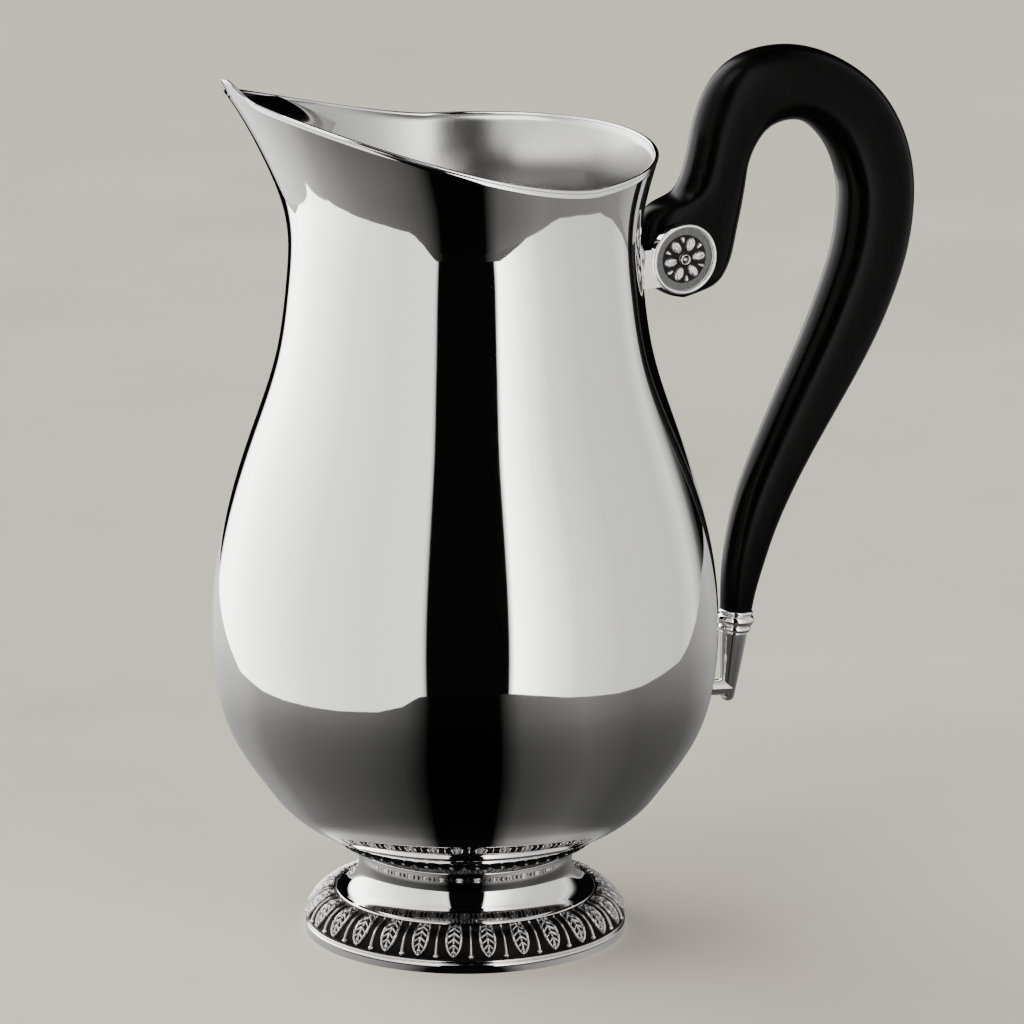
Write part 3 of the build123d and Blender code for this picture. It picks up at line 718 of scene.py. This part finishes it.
def ring_profile(radius, start, height, bore=2.25):
    """Half-round outside and straight bore of one ring."""
    t = np.linspace(-np.pi / 2, np.pi / 2, 13)
    bulge = height / 2
    return np.concatenate([
        np.column_stack([radius - bulge * 0.8 + bulge * 0.8 * np.cos(t), start + bulge + bulge * np.sin(t)]),
        [(bore, start + height), (bore, start)]])


for ring_name, ring_r, ring_start, ring_h, replaced in (
        ("ferrule_ring_top", 4.75, 0.0, 1.2, "ferrule_upper_ring"),
        ("ferrule_ring_bold", 5.25, 1.2, 3.0, "ferrule_middle_ring"),
        ("ferrule_ring_low", 4.6, 4.2, 1.8, "ferrule_lower_ring")):
    ring_piece = turned_on_axis(ring_name, ring_profile(ring_r, ring_start, ring_h), 96,
                                ferrule_top, ferrule_down, ferrule_side)
    ring_piece.data.materials.append(mirror_silver)
    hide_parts(replaced)
    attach(ring_piece, "root")

taper = np.linspace(0, 1, 30)
tip_turn = np.linspace(0.1, 1, 12) * np.pi / 2
socket_profile = np.concatenate([
    [(2.3, 6.02), (3.6, 6.02), (3.75, 6.1)],
    np.column_stack([3.75 - 1.85 * taper**1.15, 6.3 + 17.7 * taper]),
    np.column_stack([0.1 + 1.8 * np.cos(tip_turn * 0.97), 24.0 + 1.9 * np.sin(tip_turn)])])
socket = turned_on_axis("tapered_socket", socket_profile, 96, ferrule_top, ferrule_down, ferrule_side,
                        closed=False, caps=("first", "last"))
socket.data.materials.append(mirror_silver)
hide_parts("lower_socket")
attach(socket, "root")

# ---------------------------------------------------------------------------
# Lower strut and pad: a short rod from the socket's tip to a small round pad
# soldered on the belly.
for name in ("lower_strut", "lower_pad"):
    nodes[name].data.materials.clear()
    nodes[name].data.materials.append(mirror_silver)

# ---------------------------------------------------------------------------
# Studio: a pale floor, one soft overhead lamp, the camera, and a light tent with a dark
# gap in front and dark zones behind. The camera sees a plain floor. Mirror rays meet the
# floor glowing out to an edge with painted reflection levels, though it is no lamp, and
# past it the tent down to its hem.
view_turn, view_rise, view_far = np.radians(28.0), np.radians(15.5), 3.0
back = np.array([
    -np.sin(view_turn) * np.cos(view_rise), -np.cos(view_turn) * np.cos(view_rise), np.sin(view_rise)])
right = np.array([np.cos(view_turn), -np.sin(view_turn), 0.0])
up = np.cross(back, right)
aim = np.array([0.0, 0.0, 0.120]) + right * 0.01269 - up * 0.00294
camera_data = bpy.data.cameras.new("camera")
camera_data.sensor_width = 36.0
camera_data.lens = 390.6
camera_data.clip_end = 50.0
camera = bpy.data.objects.new("camera", camera_data)
bpy.context.collection.objects.link(camera)
place_camera = Matrix([list(v) for v in zip(right, up, back)]).to_4x4()
place_camera.translation = Vector(aim + back * view_far)
camera.matrix_world = place_camera
bpy.context.scene.camera = camera


def bearing_group():
    """Bearing of a direction or place about the vertical: 0.5 towards the viewer, more to the right and
    less to the left, 0 and 1 straight behind."""
    group = bpy.data.node_groups.new("bearing", "ShaderNodeTree")
    group.interface.new_socket("Vector", in_out="INPUT", socket_type="NodeSocketVector")
    group.interface.new_socket("Share", in_out="OUTPUT", socket_type="NodeSocketFloat")
    n = group.nodes
    inputs, outputs = n.new("NodeGroupInput"), n.new("NodeGroupOutput")
    towards, aside = n.new("ShaderNodeVectorMath"), n.new("ShaderNodeVectorMath")
    towards.operation = aside.operation = "DOT_PRODUCT"
    towards.inputs[1].default_value = (-np.sin(view_turn), -np.cos(view_turn), 0.0)
    aside.inputs[1].default_value = (np.cos(view_turn), -np.sin(view_turn), 0.0)
    turn = n.new("ShaderNodeMath")
    turn.operation = "ARCTAN2"
    share = n.new("ShaderNodeMapRange")
    share.inputs["From Min"].default_value = -np.pi
    share.inputs["From Max"].default_value = np.pi
    wire(group, [
        ((inputs, "Vector"), (towards, 0)), ((inputs, "Vector"), (aside, 0)),
        ((aside, "Value"), (turn, 0)), ((towards, "Value"), (turn, 1)),
        ((turn, "Value"), (share, "Value")), ((share, "Result"), (outputs, "Share"))])
    return group


bearing = bearing_group()


def level_ramp(tree, stops):
    """Colour ramp of grey levels over the bearing, given as (degrees from the viewer, level) from -180 to
    180."""
    ramp = tree.nodes.new("ShaderNodeValToRGB")
    elements = ramp.color_ramp.elements
    elements[0].position, elements[1].position = 0.0, 1.0
    for degrees, _ in stops[1:-1]:
        elements.new((degrees + 180) / 360)
    for element, (degrees, level) in zip(elements, stops):
        element.position = (degrees + 180) / 360
        element.color = (level, level, level, 1.0)
    return ramp


floor_mesh = bpy.data.meshes.new("floor")
floor_mesh.from_pydata([(-6, -6, 0), (6, -6, 0), (6, 6, 0), (-6, 6, 0)], [], [(0, 1, 2, 3)])
floor = bpy.data.objects.new("floor", floor_mesh)
bpy.context.collection.objects.link(floor)
floor_material = bpy.data.materials.new("pale_floor")
floor_material.use_nodes = True
tree = floor_material.node_tree
n = tree.nodes
paint = n["Principled BSDF"]
paint.inputs["Roughness"].default_value = 0.85
paint.inputs["Specular IOR Level"].default_value = 0.1
place = n.new("ShaderNodeTexCoord")
mottle = n.new("ShaderNodeTexNoise")
mottle.inputs["Scale"].default_value = 9.0
mottle.inputs["Detail"].default_value = 6.0
cream = n.new("ShaderNodeValToRGB")
cream.color_ramp.elements[0].position, cream.color_ramp.elements[1].position = 0.3, 0.7
cream.color_ramp.elements[0].color = (0.68, 0.62, 0.52, 1.0)
cream.color_ramp.elements[1].color = (0.74, 0.685, 0.585, 1.0)
where = n.new("ShaderNodeGroup")
where.node_tree = bearing
reach = n.new("ShaderNodeVectorMath")
reach.operation = "LENGTH"
# The numbers of this list came from a scratch script; report.md says how.
table_edge = level_ramp(tree, [
    (-180, 0.60), (-150, 0.50), (-139, 0.43), (-126, 0.353), (-113, 0.285), (-95, 0.255),
    (-82, 0.246), (-66, 0.243), (-52, 0.245), (-35, 0.256), (-25, 0.282), (-18, 0.335), (0, 0.35),
    (20, 0.35), (30, 0.33), (43, 0.305), (54, 0.295), (66, 0.288), (79, 0.292), (92, 0.312),
    (105, 0.335), (113, 0.38), (122, 0.47), (128, 0.56), (134, 0.67), (180, 0.67)])
beyond = n.new("ShaderNodeMath")
beyond.operation = "GREATER_THAN"
# Painted reflection: grey levels by bearing that the floor glows with for mirror rays, scaled with distance
# by the curve below.
reflected = level_ramp(tree, [
    (-180, 0.30), (-150, 0.95), (-111, 0.70), (-95, 0.42), (-70, 0.26), (-40, 0.16), (-24, 0.09),
    (-14, 0.002), (14, 0.002), (23, 0.12), (50, 0.21), (75, 0.15), (96, 0.17), (112, 0.20), (141, 0.40),
    (180, 0.30)])
near_far = n.new("ShaderNodeFloatCurve")
for at, level in ((0.047, 1.0), (0.053, 0.9), (0.062, 0.22), (0.15, 0.24), (0.25, 0.45), (0.42, 0.70)):
    near_far.mapping.curves[0].points.new(at, level)
near_far.mapping.curves[0].points[0].location = (0.0, 1.0)
near_far.mapping.curves[0].points[-1].location = (1.0, 0.72)
near_far.mapping.update()
twice = n.new("ShaderNodeMath")
twice.operation = "MULTIPLY"
twice.inputs[1].default_value = 2.0
# Painted reflection glow: an emission on the floor that only mirror rays see.
painted_reflection_glow = n.new("ShaderNodeEmission")
clear = n.new("ShaderNodeBsdfTransparent")
path = n.new("ShaderNodeLightPath")
table_end, seen = n.new("ShaderNodeMixShader"), n.new("ShaderNodeMixShader")
wire(tree, [
    ((place, "Object"), (mottle, "Vector")), ((mottle, "Fac"), (cream, "Fac")),
    ((cream, "Color"), (paint, "Base Color")),
    ((place, "Object"), (where, "Vector")), ((place, "Object"), (reach, 0)),
    ((where, "Share"), (table_edge, "Fac")), ((where, "Share"), (reflected, "Fac")),
    ((reach, "Value"), (beyond, 0)), ((table_edge, "Color"), (beyond, 1)),
    ((reach, "Value"), (near_far, "Value")), ((near_far, "Value"), (twice, 0)),
    ((reflected, "Color"), (painted_reflection_glow, "Color")), ((twice, "Value"), (painted_reflection_glow, "Strength")),
    ((beyond, "Value"), (table_end, "Fac")),
    ((path, "Is Glossy Ray"), (seen, "Fac")),
    ((paint, "BSDF"), (seen, 1)), ((table_end, "Shader"), (seen, 2)),
    ((seen, "Shader"), (n["Material Output"], "Surface"))])
tree.links.new(painted_reflection_glow.outputs["Emission"], table_end.inputs[1])
tree.links.new(clear.outputs["BSDF"], table_end.inputs[2])
floor_mesh.materials.append(floor_material)

world = bpy.data.worlds.new("light_tent")
bpy.context.scene.world = world
world.use_nodes = True
tree = world.node_tree
tree.nodes.clear()
n = tree.nodes
direction = n.new("ShaderNodeTexCoord")
where = n.new("ShaderNodeGroup")
where.node_tree = bearing
tent = level_ramp(tree, [
    (-180, 0.0005), (-157, 0.0005), (-153, 0.95), (-138, 1.0), (-115, 0.62), (-95, 0.42), (-75, 0.29),
    (-45, 0.23), (-19, 0.25), (-17, 0.0005), (20.5, 0.0005), (22, 0.90), (27, 0.75), (38, 0.42),
    (52, 0.22), (75, 0.155), (115, 0.14), (128, 0.19), (136, 0.10), (141, 0.02), (147, 0.0005),
    (180, 0.0005)])
parts = n.new("ShaderNodeSeparateXYZ")
high = n.new("ShaderNodeMapRange")
high.interpolation_type = "SMOOTHSTEP"
high.inputs["From Min"].default_value, high.inputs["From Max"].default_value = 0.60, 0.92
high.inputs["To Min"].default_value, high.inputs["To Max"].default_value = 6.0, 1.0
# The numbers of this list came from a scratch script; report.md says how.
hem = level_ramp(tree, [
    (-180, 0.30), (-144, 0.42), (-127, 0.627), (-111, 0.709), (-98, 0.749), (-82, 0.772),
    (-67, 0.778), (-54, 0.766), (-39, 0.719), (-28, 0.626), (-19, 0.50), (0, 0.50), (24, 0.481),
    (35, 0.559), (47, 0.628), (58, 0.643), (70, 0.636), (85, 0.600), (103, 0.545), (115, 0.479),
    (127, 0.373), (135, 0.28), (180, 0.28)])
table_tone = level_ramp(tree, [
    (-180, 0.08), (-150, 0.16), (-111, 0.11), (-95, 0.07), (-70, 0.042), (-40, 0.028), (-24, 0.014),
    (-14, 0.0005), (14, 0.0005), (23, 0.02), (50, 0.032), (75, 0.034), (96, 0.036), (141, 0.05),
    (180, 0.05)])
under = n.new("ShaderNodeMath")
under.operation = "MULTIPLY"
under.inputs[1].default_value = -1.0
below_hem = n.new("ShaderNodeMath")
below_hem.operation = "GREATER_THAN"
tone = n.new("ShaderNodeMix")
tone.data_type = "RGBA"
glow = n.new("ShaderNodeBackground")
world_out = n.new("ShaderNodeOutputWorld")
wire(tree, [
    ((direction, "Generated"), (where, "Vector")), ((where, "Share"), (tent, "Fac")),
    ((direction, "Generated"), (parts, "Vector")), ((parts, "Z"), (high, "Value")),
    ((where, "Share"), (hem, "Fac")), ((where, "Share"), (table_tone, "Fac")),
    ((parts, "Z"), (under, 0)), ((under, "Value"), (below_hem, 0)), ((hem, "Color"), (below_hem, 1)),
    ((below_hem, "Value"), (tone, "Factor")),
    ((tent, "Color"), (tone, "A")), ((table_tone, "Color"), (tone, "B")),
    ((tone, "Result"), (glow, "Color")), ((high, "Result"), (glow, "Strength")),
    ((glow, "Background"), (world_out, "Surface"))])

lamp_data = bpy.data.lights.new("overhead", "AREA")
lamp_data.shape = "RECTANGLE"
lamp_data.size, lamp_data.size_y = 0.9, 0.7
lamp_data.energy = 9.0
lamp = bpy.data.objects.new("overhead", lamp_data)
lamp.location = (-0.7, -0.2, 1.5)
lamp.rotation_euler = (Vector((0.0, 0.0, 0.1)) - lamp.location).to_track_quat("-Z", "Y").to_euler()
bpy.context.collection.objects.link(lamp)
